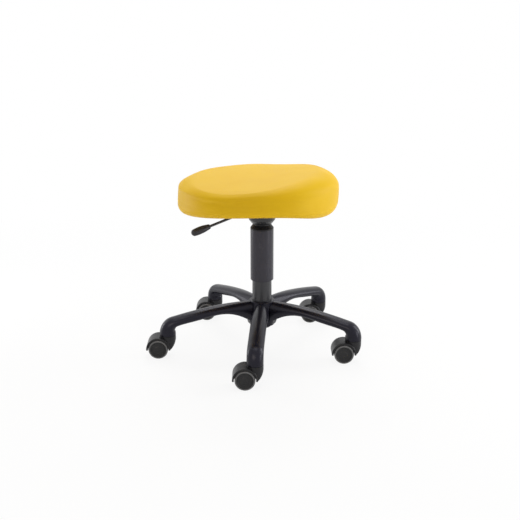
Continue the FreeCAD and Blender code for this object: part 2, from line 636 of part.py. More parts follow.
def taper_socket():
    """Bowl with a flange for the plate, a taper boss for the tube and a slot for the lever."""
    foot = SOCKET_FOOT_DIAMETER / 2
    shoulder = SOCKET_SHOULDER_DIAMETER / 2
    rim = SOCKET_TOP_DIAMETER / 2
    flange = SOCKET_FLANGE_DIAMETER / 2
    boss = TUBE_RADIUS + SOCKET_BOSS_WALL
    bore = TUBE_RADIUS + PRESSED_GAP
    bore_top = TUBE_TOP_RADIUS + PRESSED_GAP
    shoulder_z = SOCKET_Z + SOCKET_SHOULDER_RISE
    flange_z = PLATE_Z - SOCKET_WALL
    bowl = turned([
        (bore, SOCKET_Z), (foot, SOCKET_Z), (shoulder, shoulder_z), (rim, flange_z), (flange, flange_z),
        (flange, PLATE_Z), (rim - SOCKET_WALL, PLATE_Z),
        (shoulder - SOCKET_WALL, shoulder_z + SOCKET_WALL / 2),
        (foot - SOCKET_WALL / 2, SOCKET_Z + SOCKET_WALL), (boss, SOCKET_Z + SOCKET_WALL),
        (boss, TUBE_TOP_Z), (bore_top, TUBE_TOP_Z)])
    slot_half = LEVER_SLOT_WIDTH / 2
    slot_low = LEVER_Z - LEVER_CRANK_DROP - LEVER_ROD_DIAMETER
    slot = block((boss + SIDE_GAP, -slot_half, slot_low), (flange, slot_half, flange_z - SOCKET_WALL))
    return bowl.cut(turned_to(slot, LEVER_HEADING))


def lever_path():
    """Centre line of the lever's rod: level over the pin, cranked down, then straight to the grip."""
    straight = LEVER_REACH - GRIP_LENGTH / 2 - LEVER_CRANK_END
    crank_z = LEVER_Z - LEVER_CRANK_DROP
    end_z = crank_z - straight * math.tan(math.radians(LEVER_SLOPE))
    return [
        Vec(-LEVER_TAIL, 0, LEVER_Z), Vec(LEVER_CRANK_START, 0, LEVER_Z),
        Vec(LEVER_CRANK_END, 0, crank_z), Vec(LEVER_CRANK_END + straight, 0, end_z)]


def rounded_path(points, radius):
    """Wire of straight runs joined by tangent arcs."""
    edges = []
    start = points[0]
    for before, corner, after in zip(points, points[1:], points[2:]):
        back = (before - corner).normalize()
        ahead = (after - corner).normalize()
        half_angle = back.getAngle(ahead) / 2
        run = radius / math.tan(half_angle)
        bisector = (back + ahead).normalize()
        middle = corner + bisector * (radius / math.sin(half_angle) - radius)
        edges.append(Part.LineSegment(start, corner + back * run).toShape())
        edges.append(Part.Arc(corner + back * run, middle, corner + ahead * run).toShape())
        start = corner + ahead * run
    edges.append(Part.LineSegment(start, points[-1]).toShape())
    return Part.Wire(edges)


def lever_rod():
    """Bent rod with a cross tube for its pivot."""
    points = lever_path()
    section = Part.Face(Part.Wire(Part.Circle(points[0], X_AXIS, LEVER_ROD_DIAMETER / 2).toShape()))
    bar = rounded_path(points, LEVER_BEND).makePipe(section)
    hub = cross_rod(LEVER_HUB_DIAMETER / 2, LEVER_HUB_LENGTH / 2, LEVER_PIVOT_RADIUS, LEVER_PIVOT_Z)
    pivot_radius = LEVER_PIVOT_DIAMETER / 2 + RUNNING_GAP
    bore = cross_rod(pivot_radius, LEVER_HUB_LENGTH, LEVER_PIVOT_RADIUS, LEVER_PIVOT_Z)
    return turned_to(bar.fuse(hub).cut(bore), LEVER_HEADING)


def lever_grip():
    """Tapered plastic grip, bored for the rod."""
    end = lever_path()[-1]
    radius = GRIP_DIAMETER / 2
    neck = GRIP_NECK_DIAMETER / 2
    half = GRIP_LENGTH / 2
    bore = LEVER_ROD_DIAMETER / 2 + PRESSED_GAP
    tip = half - GRIP_END_ROUNDING
    end_radius = radius - GRIP_SHOULDER
    widest = Vec(radius, 0, tip / 2)
    swell = Part.Arc(Vec(neck, 0, -half), Vec((neck + radius) / 2 + GRIP_SWELL, 0, -half / 2), widest)
    shoulder = Part.Arc(widest, Vec(radius - GRIP_SHOULDER / 4, 0, tip * 3 / 4), Vec(end_radius, 0, tip))
    cap_radius = sagitta_radius(end_radius, GRIP_END_ROUNDING)
    cap_angle = math.atan2(end_radius, cap_radius - GRIP_END_ROUNDING) / 2
    cap_z = half - cap_radius * (1 - math.cos(cap_angle))
    cap_middle = Vec(cap_radius * math.sin(cap_angle), 0, cap_z)
    cap = Part.Arc(Vec(end_radius, 0, tip), cap_middle, Vec(0, 0, half))
    inside = Part.makePolygon(
        [Vec(0, 0, half), ORIGIN, Vec(bore, 0, 0), Vec(bore, 0, -half), Vec(neck, 0, -half)])
    edges = [swell.toShape(), shoulder.toShape(), cap.toShape()] + inside.Edges
    grip = Part.Face(Part.Wire(edges)).revolve(ORIGIN, Z_AXIS, 360)
    grip.rotate(ORIGIN, Y_AXIS, 90 + LEVER_SLOPE)
    grip.translate(end)
    return turned_to(grip, LEVER_HEADING)


def lever_bracket():
    """Two ears under the plate that hold the lever's pivot."""
    ear_inside = LEVER_HUB_LENGTH / 2 + SIDE_GAP
    ear_outside = ear_inside + BRACKET_WALL
    low = LEVER_PIVOT_RADIUS - BRACKET_LENGTH / 2
    high = LEVER_PIVOT_RADIUS + BRACKET_LENGTH / 2
    foot_z = LEVER_PIVOT_Z - LEVER_PIVOT_DIAMETER / 2 - BRACKET_EDGE
    bracket = block((low, -ear_outside, foot_z), (high, ear_outside, PLATE_Z))
    gap = block((low - 1, -ear_inside, foot_z - 1), (high + 1, ear_inside, PLATE_Z - BRACKET_WALL))
    pivot_radius = LEVER_PIVOT_DIAMETER / 2 + PRESSED_GAP
    bore = cross_rod(pivot_radius, 2 * ear_outside, LEVER_PIVOT_RADIUS, LEVER_PIVOT_Z)
    return turned_to(bracket.cut(gap).cut(bore), LEVER_HEADING)


def lever_pivot():
    """Steel pin through both ears."""
    half_length = LEVER_HUB_LENGTH / 2 + SIDE_GAP + BRACKET_WALL
    pin = cross_rod(LEVER_PIVOT_DIAMETER / 2, half_length, LEVER_PIVOT_RADIUS, LEVER_PIVOT_Z)
    return turned_to(pin, LEVER_HEADING)


def screw_places():
    """Centres of the four screws that hold the board to the plate."""
    half_x = SCREW_SPACING_X / 2
    half_y = SCREW_SPACING_Y / 2
    return [Vec(x, y, 0) for x in (-half_x, half_x) for y in (-half_y, half_y)]


def at_screws(shape):
    """Copies of a shape at the four screws."""
    copies = []
    for place in screw_places():
        copy = shape.copy()
        copy.translate(place)
        copies.append(copy)
    return copies


def seat_plate():
    """Pressed steel plate with a turned-down edge and four screw holes."""
    half_x = PLATE_WIDTH / 2
    half_y = PLATE_LENGTH / 2
    tray = block((-half_x, -half_y, PLATE_Z - PLATE_LIP), (half_x, half_y, BOARD_Z))
    corners = [edge for edge in tray.Edges if abs(edge.BoundBox.ZLength - PLATE_LIP - PLATE_THICKNESS) < 0.1]
    tray = tray.makeFillet(PLATE_CORNER, corners)
    inner_x = half_x - PLATE_THICKNESS
    inner_y = half_y - PLATE_THICKNESS
    hollow = block((-inner_x, -inner_y, PLATE_Z - PLATE_LIP), (inner_x, inner_y, PLATE_Z))
    inner_corners = [edge for edge in hollow.Edges if abs(edge.BoundBox.ZLength - PLATE_LIP) < 0.1]
    hollow = hollow.makeFillet(PLATE_CORNER - PLATE_THICKNESS, inner_corners)
    holes = at_screws(rod(SCREW_DIAMETER / 2 + SIDE_GAP, PLATE_Z, BOARD_Z))
    return tray.cut(hollow).cut(Part.makeCompound(holes))


def plate_screws():
    """Four pan-head screws from below."""
    head_top = PLATE_Z - WASHER_THICKNESS
    head = rod(SCREW_HEAD_DIAMETER / 2, head_top - SCREW_HEAD_HEIGHT, head_top)
    lower_edge = [edge for edge in head.Edges if edge.BoundBox.ZMax < head_top - 1]
    head = head.makeFillet(SCREW_HEAD_HEIGHT / 3, lower_edge)
    corner = Vec(SCREW_DIAMETER / 3, 0, head_top - SCREW_HEAD_HEIGHT)
    turns = [FreeCAD.Rotation(Z_AXIS, 60 * index) for index in range(7)]
    hexagon = Part.makePolygon([turn.multVec(corner) for turn in turns])
    socket = Part.Face(hexagon).extrude(Vec(0, 0, SCREW_HEAD_HEIGHT / 2))
    shank = rod(SCREW_DIAMETER / 2, head_top, BOARD_Z + BOARD_THICKNESS)
    screw = head.cut(socket).fuse(shank).removeSplitter()
    return Part.makeCompound(at_screws(screw))


def plate_washers():
    """Washers between the screw heads and the plate."""
    bore = SCREW_DIAMETER / 2 + RUNNING_GAP
    return Part.makeCompound(at_screws(ring(bore, WASHER_DIAMETER / 2, PLATE_Z - WASHER_THICKNESS, PLATE_Z)))


def tee_nut_barrel():
    """Outer radius of a tee nut's barrel."""
    return SCREW_DIAMETER / 2 + PRESSED_GAP + TEE_NUT_WALL


def tee_nuts():
    """Flanged nuts let into the board from above."""
    bore = SCREW_DIAMETER / 2 + PRESSED_GAP
    barrel = tee_nut_barrel()
    top = BOARD_Z + BOARD_THICKNESS
    nut = turned([
        (bore, BOARD_Z + PLATE_THICKNESS), (barrel, BOARD_Z + PLATE_THICKNESS), (barrel, top),
        (TEE_NUT_DIAMETER / 2, top), (TEE_NUT_DIAMETER / 2, top + TEE_NUT_FLANGE),
        (bore, top + TEE_NUT_FLANGE)])
    return Part.makeCompound(at_screws(nut))


# Upholstered seat


def oval(half_width, half_length, centre_y, z):
    """Closed outline of four tangent arcs, which meet where the edge runs at 45 degrees."""
    root = math.sqrt(2)
    end_radius = (half_width - (root - 1) * half_length) / (2 - root)
    x = end_radius / root
    y = half_length - end_radius + x
    corners = [(x, -y), (x, y), (-x, y), (-x, -y)]
    middles = [(half_width, 0), (0, half_length), (-half_width, 0), (0, -half_length)]
    edges = []
    for index in range(4):
        ends = (corners[index], middles[index], corners[(index + 1) % 4])
        edges.append(Part.Arc(*[Vec(px, py + centre_y, z) for px, py in ends]).toShape())
    return Part.Wire(edges)


def seat_outline(z, inset):
    """The seat's plan outline at a height, drawn in at the rear towards the bottom."""
    drawn_in = (SEAT_TOP_Z - z) * math.tan(math.radians(SEAT_DRAFT)) / 2
    half_length = SEAT_LENGTH / 2 - drawn_in - inset
    return oval(SEAT_WIDTH / 2 - inset, half_length, SEAT_SHIFT - drawn_in, z)


def arc_drop(radius, offset):
    """Fall of an arc at a distance from its middle."""
    return radius - math.sqrt(radius ** 2 - offset ** 2)


def above_saddle(inset):
    """Everything above the seat's top, which is crowned across and dished along."""
    reach = 0.75 * max(SEAT_WIDTH, SEAT_LENGTH)
    top = SEAT_TOP_Z - inset
    crown_radius = sagitta_radius(SEAT_WIDTH / 2, SEAT_CROWN)
    dish_radius = sagitta_radius(SEAT_LENGTH / 2, SEAT_DISH)
    edge_z = top - arc_drop(crown_radius, reach)
    roof = top + SEAT_LENGTH / 4
    crown = Part.Arc(Vec(-reach, 0, edge_z), Vec(0, 0, top), Vec(reach, 0, edge_z)).toShape()
    sides = Part.makePolygon(
        [Vec(reach, 0, edge_z), Vec(reach, 0, roof), Vec(-reach, 0, roof), Vec(-reach, 0, edge_z)])
    section = Part.Face(Part.Wire([crown] + sides.Edges))
    pole = Vec(0, 0, top + dish_radius)
    swing = math.degrees(math.asin(reach / dish_radius))
    section.rotate(pole, X_AXIS, -swing)
    space = section.revolve(pole, X_AXIS, 2 * swing)
    space.rotate(Vec(0, 0, top), X_AXIS, SEAT_TILT)
    return space


def below_skirt(inset):
    """Everything below the seat's lower edge, which hangs lowest at front and rear."""
    reach = SEAT_WIDTH
    line = [
        Vec(-reach, SEAT_SHIFT + place * SEAT_LENGTH / 2, BOARD_Z - fall + inset)
        for place, fall in zip(SKIRT_PLACE, SKIRT_FALL)]
    curve = Part.BSplineCurve()
    curve.interpolate(line)
    floor = BOARD_Z - 2 * max(SKIRT_FALL)
    front = Vec(-reach, line[0].y, floor)
    rear = Vec(-reach, line[-1].y, floor)
    sides = Part.makePolygon([line[-1], rear, front, line[0]])
    return Part.Face(Part.Wire([curve.toShape()] + sides.Edges)).extrude(Vec(2 * reach, 0, 0))


def cushion(inset):
    """The cushion's closed form, with every face moved in by an inset."""
    low = seat_outline(BOARD_Z - 1.5 * max(SKIRT_FALL), inset)
    high = seat_outline(SEAT_TOP_Z + SEAT_LENGTH / 8, inset)
    form = Part.makeLoft([low, high], True, True).cut(above_saddle(inset)).cut(below_skirt(inset))
    top = max(form.Faces, key=lambda face: face.CenterOfMass.z)
    form = form.makeFillet(TOP_ROUNDING - inset, top.Edges)
    bottom = min(form.Faces, key=lambda face: face.CenterOfMass.z)
    return form.makeFillet(BOTTOM_ROUNDING - inset, bottom.Edges)


def board_prism(inset, bottom, top):
    """Upright prism on the board's outline."""
    low = seat_outline(BOARD_Z, BOARD_INSET + inset)
    low.translate(Vec(0, 0, bottom - BOARD_Z))
    return Part.Face(low).extrude(Vec(0, 0, top - bottom))


def seat_board():
    """Plywood board with holes for the tee nuts."""
    board = board_prism(0, BOARD_Z, BOARD_Z + BOARD_THICKNESS)
    holes = at_screws(rod(tee_nut_barrel() + PRESSED_GAP, BOARD_Z, BOARD_Z + BOARD_THICKNESS))
    return board.cut(Part.makeCompound(holes))


def seat_foam():
    """Moulded foam over the board and round its edge."""
    floor = BOARD_Z - 2 * max(SKIRT_FALL)
    top = BOARD_Z + BOARD_THICKNESS
    foam = cushion(COVER_THICKNESS + SOFT_GAP).cut(board_prism(-SOFT_GAP, floor, top))
    nut_room = rod(TEE_NUT_DIAMETER / 2 + SOFT_GAP, top, top + TEE_NUT_FLANGE + SOFT_GAP)
    return foam.cut(Part.makeCompound(at_screws(nut_room)))


def seat_cover():
    """Skin over the foam, turned in under its lower edge and hemmed on the board's underside."""
    floor = BOARD_Z - 2 * max(SKIRT_FALL)
    outside = cushion(0).cut(board_prism(COVER_THICKNESS, floor, BOARD_Z - COVER_THICKNESS))
    outside = outside.cut(board_prism(COVER_HEM, floor, BOARD_Z))
    inside = cushion(COVER_THICKNESS).cut(board_prism(0, floor, BOARD_Z))
    return outside.cut(inside)


def cover_staples():
    """Staples through the hem into the board."""
    crown_z = BOARD_Z - COVER_THICKNESS
    half = STAPLE_CROWN / 2
    wire = STAPLE_WIRE
    crown = block((-half, -wire / 2, crown_z - wire), (half, wire / 2, crown_z))
    legs = [
        block((x, -wire / 2, crown_z - wire), (x + wire, wire / 2, crown_z + STAPLE_LEG))
        for x in (-half, half - wire)]
    staple = crown.fuse(legs).removeSplitter()
    track = seat_outline(BOARD_Z, BOARD_INSET + COVER_HEM / 2)
    staples = []
    for place in track.discretize(STAPLE_COUNT + 1)[:-1]:
        copy = turned_to(staple, math.degrees(math.atan2(place.y - SEAT_SHIFT, place.x)) + 90)
        copy.translate(Vec(place.x, place.y, 0))
        staples.append(copy)
    return Part.makeCompound(staples)


def stool_nodes():
    """Every node of the stool, by name."""
    nodes = {
        "star_base": star_base(),
        "caster_stems": caster_stems(),
        "column_tube": column_tube(),
        "guide_bush": guide_bush(),
        "bearing_lower_race": race(LOWER_RACE_Z),
        "bearing_balls": bearing_balls(),
        "bearing_upper_race": race(UPPER_RACE_Z),
        "piston_rod": piston_rod(),
        "piston_head": piston_head(),
        "bump_stop": bump_stop(),
        "rod_clip": rod_clip(),
        "pressure_tube": pressure_tube(),
        "rod_guide": rod_guide(),
        "valve_body": valve_body(),
        "release_pin": release_pin(),
        "upper_sleeve": upper_sleeve(),
        "sleeve_cap": sleeve_cap(),
        "taper_socket": taper_socket(),
        "lever_bracket": lever_bracket(),
        "lever_pivot": lever_pivot(),
        "lever_rod": lever_rod(),
        "lever_grip": lever_grip(),
        "seat_plate": seat_plate(),
        "plate_screws": plate_screws(),
        "plate_washers": plate_washers(),
        "tee_nuts": tee_nuts(),
        "seat_board": seat_board(),
        "seat_foam": seat_foam(),
        "seat_cover": seat_cover(),
        "cover_staples": cover_staples(),
    }
    nodes.update(caster_pieces())
    return nodes


os.makedirs("parts", exist_ok=True)
for node_name, node_shape in stool_nodes().items():
    print("%-22s solids %2d  volume %10.1f" % (node_name, len(node_shape.Solids), node_shape.Volume))
    node_shape.exportStep("parts/%s.step" % node_name)
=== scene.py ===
"""Saddle stool: finishes for every piece, the upholstered cushion, and a plain studio."""
import json
import math

import bpy
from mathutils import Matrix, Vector, noise


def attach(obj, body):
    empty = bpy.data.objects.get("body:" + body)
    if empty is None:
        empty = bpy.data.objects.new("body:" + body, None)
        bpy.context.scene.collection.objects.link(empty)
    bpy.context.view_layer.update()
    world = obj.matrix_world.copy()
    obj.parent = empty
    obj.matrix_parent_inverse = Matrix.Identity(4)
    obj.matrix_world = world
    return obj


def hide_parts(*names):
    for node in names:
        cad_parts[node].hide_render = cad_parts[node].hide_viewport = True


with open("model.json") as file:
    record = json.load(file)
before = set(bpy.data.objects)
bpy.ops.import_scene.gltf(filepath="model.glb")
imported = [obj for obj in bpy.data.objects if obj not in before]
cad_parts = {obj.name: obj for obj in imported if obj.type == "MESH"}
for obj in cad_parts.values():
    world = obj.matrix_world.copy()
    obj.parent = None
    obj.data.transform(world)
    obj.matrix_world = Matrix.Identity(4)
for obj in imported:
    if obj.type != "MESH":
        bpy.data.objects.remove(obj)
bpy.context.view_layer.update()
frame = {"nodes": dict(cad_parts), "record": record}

NODES = frame["nodes"]
SCENE = bpy.context.scene
MM = 0.001

# Cushion, in millimetres, close to the sizes of the solids it stands for
SEAT_CENTRE_Y = -10.5
SEAT_HALF_WIDTH = 208.5
SEAT_HALF_LENGTH = 205.0
SEAT_TOP_Z = 462.5
SEAT_TILT = 3.0               # degrees, rear up
SEAT_CROWN = 8.5              # fall to each side before the rim
SEAT_DISH = 3.5               # rise to front and rear
REAR_DRAFT = 1.5              # degrees, rear wall drawn in towards the bottom
BOARD_Z = 408.0
BOARD_TOP_Z = 422.3           # room over the board and its nuts
BOARD_INSET = 27.8
HEM_Z = 406.8
HEM_TOP_Z = 407.9
HEM_INSET = 50.0
SKIRT_PLACE = (-1.1, -0.8, -0.4, 0.1, 0.5, 0.8, 1.1)
SKIRT_FALL = (39.0, 31.5, 20.5, 9.5, 7.0, 15.0, 39.0)
SIDE_ROUNDING = 18.0          # width of the shoulder that ends in the rim
FRONT_ROUNDING = 60.0
REAR_ROUNDING = 46.0
SIDE_RIM_FALL = 11.0          # height of the shoulder
FRONT_RIM_FALL = 18.0
REAR_RIM_FALL = 35.0
REAR_SHOULDER = (0.25, 1.0)   # sines of the plan angle between which the side turns into the rear
FRONT_SHOULDER = (0.3, 1.0)   # the same towards the front
REAR_RAISE = 6.0              # extra fullness of the rear's top
RAISE_SPAN = (-35.0, 155.0)   # where along Y it comes in
DRAFT_SPAN = (-0.2, 1.0)      # sines of the plan angle between which the rear's draft comes in
BOTTOM_ROUNDING = 20.0
START_INSET = 2.0             # the cushion swells from a slightly smaller form
SWELL_LIMIT = 3.2             # farthest that a point may move as it swells
WALL_DRAW = 1.7               # hollow of the wall at the sides
REAR_SWELL = 1.0              # fullness of the wall at the rear
SWELL_SPAN = (0.3, 1.0)       # sines of the plan angle between which it comes in
WALL_SPAN = (160.0, 196.0)    # distance from the middle at which the wall's marks come in
WALL_FADE = 1.2               # power that fades them towards the wall's top and bottom
SURFACE_RIPPLE = 0.55         # unevenness of the stretched cover
RIPPLE_LENGTH = 70.0
FOLD_WIDTH = 0.06             # half width of a fold, as a share of the cushion's height
WALL_FOLDS = (                # plan angles from and to, heights from and to as shares, depth
    (-42, 26, 0.82, 0.46, 1.2), (-58, -4, 0.48, 0.36, 0.8), (6, 66, 0.62, 0.44, 0.8),
    (-118, -66, 0.52, 0.58, 0.8), (150, 216, 0.54, 0.67, 0.8), (186, 240, 0.40, 0.50, 0.7))
LEAST_FREEDOM = 0.05          # points held more firmly than this keep their place
BOTTOM_FREEDOM = 0.9          # freedom to swell where the bottom's rounding begins
CUSHION_SECTORS = 168
TOP_STEPS = 26                # rings of points over the top, and so on down the wall and inside
TOP_SPACING = 0.8             # power that brings the rings closer together towards the rim
SHOULDER_STEPS = 12
WALL_STEPS = 10
BOTTOM_STEPS = 8
HEM_STEPS = 4
LINING_STEPS = 7
CLOTH_FRAMES = 20
SMOOTHING_PASSES = 40         # evens out the cloth's movement over neighbouring points

# Camera, from the photograph's perspective
CAMERA_PLACE = (2.1226, 0.8469, 0.9659)
CAMERA_HEADING = (-0.8845, -0.3552, -0.3027)
CAMERA_LENS = 64.32
SENSOR_WIDTH = 36.0
CAMERA_REACH = 60.0

# Floor, in metres: plain white from afar, with a faint shadow round the object
FLOOR_REACH = 14.0
SHADOW_REACH = (0.5, 1.6)     # distances from the middle between which the shadow fades
SHADOW_WHITE = 0.88           # share of plain white where the shadow falls

# Light: name, place, width and height, power and colour of each lamp, all aimed at one point
WHITE = (1.0, 1.0, 1.0)
WARM = (1.0, 0.90, 0.76)
AMBIENT = 0.30                # strength of the surround for the rays that light the object
LAMP_TARGET = (0, 0, 0.35)
LAMPS = (
    ("right_lamp", (-1.3, 1.97, 1.1), (1.0, 1.8), 28.0, WHITE),
    ("left_lamp", (-0.3, -2.4, 1.1), (1.0, 1.8), 6.5, WHITE),
    ("right_strip", (0.05, 1.25, 0.25), (0.25, 0.5), 2.3, WHITE),
    ("left_strip", (0.1, -1.25, 0.25), (0.25, 0.5), 2.3, WHITE),
    ("top_lamp", (-0.1, 0.0, 2.6), (1.3, 1.3), 14.0, WHITE),
    ("back_lamp", (-1.5, -0.60, 2.25), (1.4, 1.3), 23.0, WHITE),
    ("front_lamp", (2.6, 0.1, 1.5), (1.6, 1.2), 16.0, WARM))

# Finishes
NOISE_SPAN = (0.3, 0.7)       # where most of a noise's values lie
COOL = (0.88, 0.87, 1.0)      # tint of the light that the base and the sleeve reflect


# Materials


class Finish:
    """A material with a node tree and short ways to add to it."""

    def __init__(self, name):
        self.material = bpy.data.materials.new(name)
        self.material.use_nodes = True
        self.tree = self.material.node_tree
        self.shader = self.tree.nodes["Principled BSDF"]
        self.coordinates = self.add("ShaderNodeTexCoord")

    def add(self, kind, **values):
        """A new node, with its properties or its named inputs set."""
        node = self.tree.nodes.new(kind)
        for key, value in values.items():
            label = key.replace("_", " ").title()
            if label in node.inputs:
                node.inputs[label].default_value = value
            else:
                setattr(node, key, value)
        return node

    def link(self, output, target):
        self.tree.links.new(output, target)

    def set(self, **values):
        """Values that are the same all over the surface."""
        for key, value in values.items():
            self.shader.inputs[key.replace("_", " ")].default_value = value

    def mapped(self, stretch):
        """Object coordinates, stretched by a factor along each axis."""
        mapping = self.add("ShaderNodeMapping")
        mapping.inputs["Scale"].default_value = stretch
        self.link(self.coordinates.outputs["Object"], mapping.inputs["Vector"])
        return mapping.outputs["Vector"]

    def noise(self, scale, detail=3.0, roughness=0.55, stretch=(1, 1, 1)):
        """Noise with about that many cells to a metre."""
        texture = self.add("ShaderNodeTexNoise", scale=scale, detail=detail, roughness=roughness)
        self.link(self.mapped(stretch), texture.inputs["Vector"])
        return texture.outputs["Fac"]

    def cells(self, scale):
        """Distance to the nearest cell's centre, for grain."""
        texture = self.add("ShaderNodeTexVoronoi")
        texture.inputs["Scale"].default_value = scale
        self.link(self.mapped((1, 1, 1)), texture.inputs["Vector"])
        return texture.outputs["Distance"]

    def ramp(self, factor, low, high, low_value, high_value):
        """A factor taken from one range to another."""
        node = self.add("ShaderNodeMapRange")
        node.inputs["From Min"].default_value = low
        node.inputs["From Max"].default_value = high
        node.inputs["To Min"].default_value = low_value
        node.inputs["To Max"].default_value = high_value
        self.link(factor, node.inputs["Value"])
        return node.outputs["Result"]

    def colours(self, factor, stops):
        """A colour for each value of a factor."""
        node = self.add("ShaderNodeValToRGB")
        elements = node.color_ramp.elements
        while len(elements) < len(stops):
            elements.new(0.5)
        for element, (place, colour) in zip(elements, stops):
            element.position = place
            element.color = (*colour, 1)
        self.link(factor, node.inputs["Fac"])
        return node.outputs["Color"]

    def bump(self, height, distance, strength, under=None):
        """Relief of a depth in metres, over an earlier normal if there is one."""
        node = self.add("ShaderNodeBump")
        node.inputs["Strength"].default_value = strength
        node.inputs["Distance"].default_value = distance
        self.link(height, node.inputs["Height"])
        if under is not None:
            self.link(under, node.inputs["Normal"])
        return node.outputs["Normal"]

    def rounded(self, radius):
        """Normals that round sharp edges."""
        node = self.add("ShaderNodeBevel")
        node.samples = 4
        node.inputs["Radius"].default_value = radius
        return node.outputs["Normal"]

    def to(self, socket, output):
        """Feeds an output into one of the shader's sockets."""
        self.link(output, self.shader.inputs[socket])


def shade(colour, factor):
    """A colour made lighter or darker."""
    return tuple(min(channel * factor, 1.0) for channel in colour)


def moulded_plastic(name, colour, roughness, grain=1500.0, depth=0.00004, edge=0.0006,
                    uneven=1.0, tint=WHITE):
    """Moulded plastic: fine spark-eroded grain, slight mottling and soft edges."""
    finish = Finish(name)
    mottle = finish.noise(38.0, detail=4.0)
    dark = shade(colour, 1 - 0.18 * uneven)
    light = shade(colour, 1 + 0.22 * uneven)
    finish.to("Base Color", finish.colours(mottle, [(0.3, dark), (0.7, light)]))
    smear = finish.noise(75.0, detail=5.0, stretch=(1, 1, 0.4))
    smooth = roughness - 0.06 * uneven
    rough = roughness + 0.07 * uneven
    finish.to("Roughness", finish.ramp(smear, *NOISE_SPAN, smooth, rough))
    soft = finish.rounded(edge) if edge else None
    waves = finish.noise(45.0, detail=1.0)
    wavy = finish.bump(waves, distance=0.0002 * uneven, strength=0.15, under=soft)
    finish.to("Normal", finish.bump(finish.cells(grain), distance=depth, strength=0.5, under=wavy))
    finish.set(Specular_IOR_Level=0.26, Specular_Tint=(*tint, 1))
    return finish.material


def painted_metal(name, colour, roughness):
    """Powder coat: orange peel, with a slightly lighter, dusty mottling."""
    finish = Finish(name)
    dust = finish.noise(60.0, detail=5.0)
    finish.to("Base Color", finish.colours(dust, [(0.35, colour), (0.75, shade(colour, 1.35))]))
    smear = finish.noise(110.0)
    finish.to("Roughness", finish.ramp(smear, *NOISE_SPAN, roughness - 0.05, roughness + 0.06))
    peel = finish.noise(420.0, detail=2.0)
    soft = finish.rounded(0.0005)
    finish.to("Normal", finish.bump(peel, distance=0.00012, strength=0.35, under=soft))
    finish.set(Coat_Weight=0.15, Coat_Roughness=0.25)
    return finish.material


def bare_metal(name, colour, roughness):
    """Bare or plated metal with fine turning marks."""
    finish = Finish(name)
    marks = finish.noise(420.0, detail=4.0, stretch=(1, 1, 14))
    dark = shade(colour, 0.86)
    light = shade(colour, 1.08)
    finish.to("Base Color", finish.colours(marks, [(0.3, dark), (0.7, light)]))
    finish.to("Roughness", finish.ramp(marks, *NOISE_SPAN, roughness - 0.07, roughness + 0.08))
    soft = finish.rounded(0.0003)
    finish.to("Normal", finish.bump(marks, distance=0.00004, strength=0.3, under=soft))
    finish.set(Metallic=1.0)
    return finish.material


def soft_rubber(name, colour, roughness):
    """Rubber with scuffs and a fine matt grain."""
    finish = Finish(name)
    scuff = finish.noise(140.0, detail=6.0, roughness=0.7)
    dark = shade(colour, 0.78)
    light = shade(colour, 1.25)
    finish.to("Base Color", finish.colours(scuff, [(0.32, dark), (0.72, light)]))
    finish.to("Roughness", finish.ramp(scuff, *NOISE_SPAN, roughness - 0.05, roughness + 0.08))
    grain = finish.noise(1400.0, detail=3.0)
    soft = finish.rounded(0.0004)
    finish.to("Normal", finish.bump(grain, distance=0.00008, strength=0.5, under=soft))
    return finish.material


def plywood(name, pale, dark):
    """Rotary-cut birch veneer with long grain along Y."""
    finish = Finish(name)
    grain = finish.noise(26.0, detail=6.0, roughness=0.65, stretch=(9, 0.8, 9))
    fibres = finish.noise(260.0, detail=3.0, stretch=(4, 0.25, 4))
    middle = shade(pale, 0.9)
    finish.to("Base Color", finish.colours(grain, [(0.3, dark), (0.5, middle), (0.72, pale)]))
    finish.to("Roughness", finish.ramp(fibres, *NOISE_SPAN, 0.55, 0.72))
    finish.to("Normal", finish.bump(fibres, distance=0.0001, strength=0.4))
    return finish.material


def upholstery(name, colour):
    """Coated cover: pebbled grain, fine creases, a soft gloss and wide, faint changes of colour."""
    finish = Finish(name)
    wide = finish.noise(9.0, detail=3.0)
    deep = (colour[0] * 0.98, colour[1] * 0.955, colour[2] * 0.85)
    light = (colour[0] * 1.02, colour[1] * 1.03, colour[2] * 1.15)
    finish.to("Base Color", finish.colours(wide, [(0.3, deep), (0.5, colour), (0.72, light)]))
    pebble = finish.cells(1150.0)
    finish.to("Roughness", finish.ramp(pebble, 0.0, 0.7, 0.40, 0.52))
    creases = finish.noise(70.0, detail=5.0, roughness=0.6)
    creased = finish.bump(creases, distance=0.0005, strength=0.35)
    finish.to("Normal", finish.bump(pebble, distance=0.00012, strength=0.55, under=creased))
    finish.set(Specular_IOR_Level=0.14)
    return finish.material


